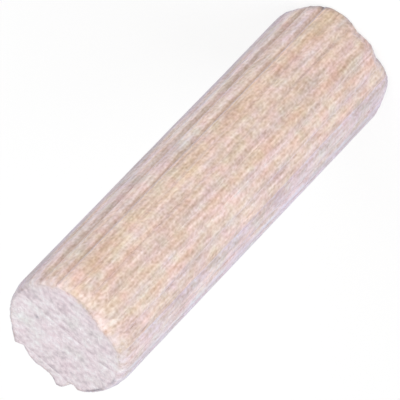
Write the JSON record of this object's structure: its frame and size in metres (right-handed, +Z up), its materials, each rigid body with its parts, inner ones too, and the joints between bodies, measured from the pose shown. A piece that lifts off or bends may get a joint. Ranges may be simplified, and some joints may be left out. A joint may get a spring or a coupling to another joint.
{
  "type": "dowel pin",
  "caption": "Straight wooden pin with fluted sides and chamfered ends, glued into matching drilled holes to line up and join boards.",
  "frame": {"origin": "centre of the lower end face, which the pin stands on", "axes": "+Z up along the pin's axis; +Y and +X each point at the middle of a crest between two flutes"},
  "size_m": [0.01, 0.01, 0.035],
  "materials": {
    "wood": "bare pale beech, fluted along the grain, with dry sawn end grain"
  },
  "bodies": {
    "root": {"dowel_pin": "wood"}
  },
  "joints": []
}
